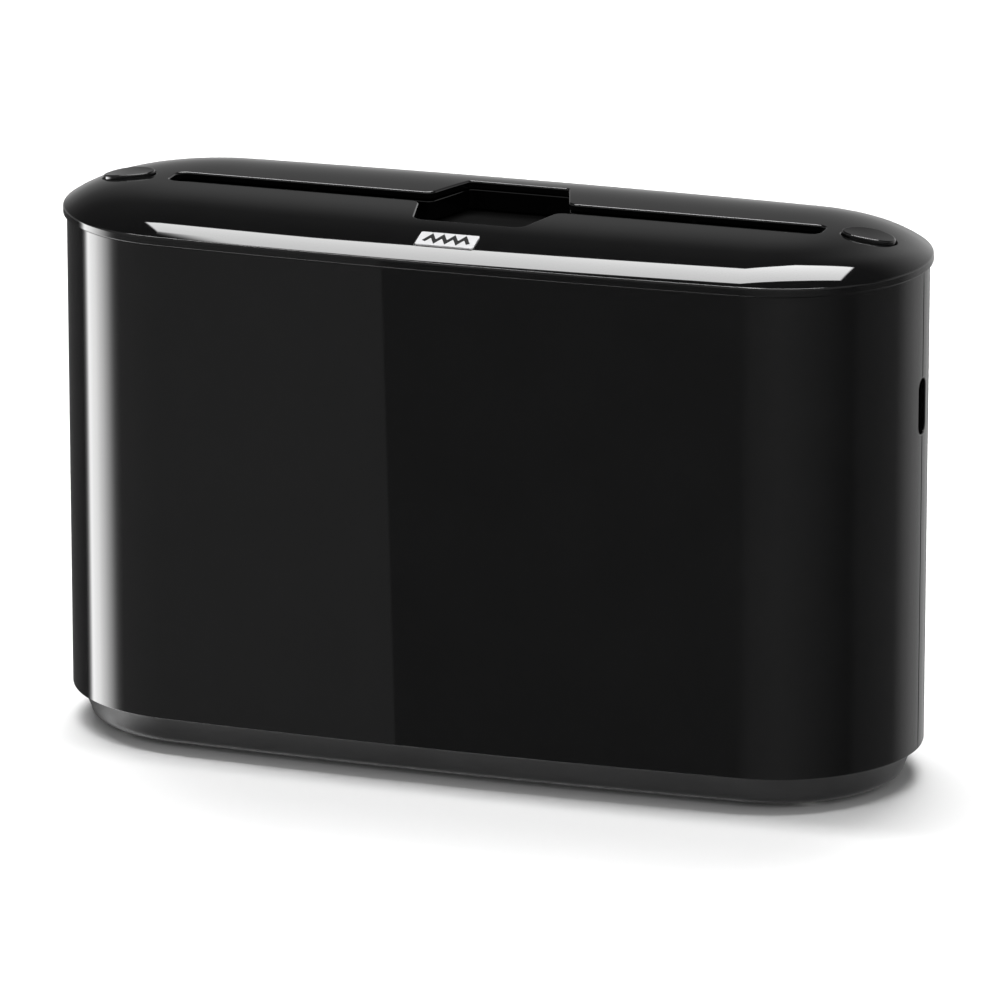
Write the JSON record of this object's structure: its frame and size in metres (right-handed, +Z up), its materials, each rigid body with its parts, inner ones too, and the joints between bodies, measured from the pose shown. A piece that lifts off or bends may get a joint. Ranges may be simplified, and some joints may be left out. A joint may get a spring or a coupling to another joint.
{
  "type": "napkin dispenser",
  "caption": "Oval black countertop napkin dispenser: domed lift-off lid with a long slot and hand opening, push-button latches, sprung lift platform inside.",
  "frame": {"origin": "on the table, under the middle of the housing", "axes": "+X along the width to the right end, -Y out of the front face, +Z up"},
  "size_m": [0.323, 0.116, 0.2031],
  "materials": {
    "shell_plastic": "high-gloss black ABS",
    "lid_plastic": "glossy black ABS",
    "button_plastic": "glossy black ABS",
    "base_plastic": "satin charcoal ABS",
    "guide_plastic": "fine-grained matte black",
    "cheek_plastic": "matte dark grey",
    "platform_plastic": "fine-grained matte black",
    "nylon": "natural nylon, low sheen",
    "rod_steel": "ground and polished",
    "spring_steel": "drawn spring wire",
    "screw_steel": "zinc plated",
    "foot_rubber": "matte",
    "badge_plastic": "plain pale plate, no mark"
  },
  "bodies": {
    "housing": {"base": "base_plastic", "foot_front_left": "foot_rubber", "foot_front_right": "foot_rubber", "foot_rear_left": "foot_rubber", "foot_rear_right": "foot_rubber", "base_screw_front_left": "screw_steel", "base_screw_front_right": "screw_steel", "base_screw_rear_left": "screw_steel", "base_screw_rear_right": "screw_steel", "front_shell": "shell_plastic", "rear_shell": "shell_plastic", "seam_screw_lower_left": "screw_steel", "seam_screw_lower_right": "screw_steel", "seam_screw_upper_left": "screw_steel", "seam_screw_upper_right": "screw_steel", "left_cheek": "cheek_plastic", "right_cheek": "cheek_plastic", "left_guide_rod": "rod_steel", "right_guide_rod": "rod_steel", "left_lift_spring": "spring_steel", "right_lift_spring": "spring_steel"},
    "lid": {"lid": "lid_plastic", "badge": "badge_plastic", "napkin_guide": "guide_plastic", "guide_screw_front_left": "screw_steel", "guide_screw_front_right": "screw_steel", "guide_screw_rear_left": "screw_steel", "guide_screw_rear_right": "screw_steel", "left_button_spring": "spring_steel", "right_button_spring": "spring_steel", "left_latch_pin": "rod_steel", "right_latch_pin": "rod_steel"},
    "left_button": {"left_button": "button_plastic"},
    "right_button": {"right_button": "button_plastic"},
    "left_latch": {"left_latch": "nylon"},
    "right_latch": {"right_latch": "nylon"},
    "platform": {"lift_platform": "platform_plastic", "left_slider": "nylon", "right_slider": "nylon", "slider_screw_left": "screw_steel", "slider_screw_right": "screw_steel"}
  },
  "joints": [
    {"name": "lid_lift", "type": "slide", "parent": "housing", "child": "lid", "axis": [0, 0, 1], "range_m": [0, 0.09]},
    {"name": "left_button_press", "type": "slide", "parent": "lid", "child": "left_button", "axis": [0, 0, -1], "range_m": [0, 0.0025], "stiffness_N_per_m": 300, "springref_m": -0.004, "deforming": ["left_button_spring"]},
    {"name": "right_button_press", "type": "slide", "parent": "lid", "child": "right_button", "axis": [0, 0, -1], "range_m": [0, 0.0025], "stiffness_N_per_m": 300, "springref_m": -0.004, "deforming": ["right_button_spring"]},
    {"name": "left_latch_turn", "type": "hinge", "parent": "lid", "child": "left_latch", "pos_m": [-0.15, 0, 0.1837], "axis": [0, 1, 0], "range_deg": [0, 14]},
    {"name": "right_latch_turn", "type": "hinge", "parent": "lid", "child": "right_latch", "pos_m": [0.15, 0, 0.1837], "axis": [0, -1, 0], "range_deg": [0, 14]},
    {"name": "platform_slide", "type": "slide", "parent": "housing", "child": "platform", "axis": [0, 0, -1], "range_m": [0, 0.13], "stiffness_N_per_m": 25, "springref_m": -0.08, "deforming": ["left_lift_spring", "right_lift_spring"]}
  ],
  "couplings": [
    {"joint": "left_latch_turn", "follows": "left_button_press", "rad_per_m": 97.087},
    {"joint": "right_latch_turn", "follows": "right_button_press", "rad_per_m": 97.087}
  ]
}
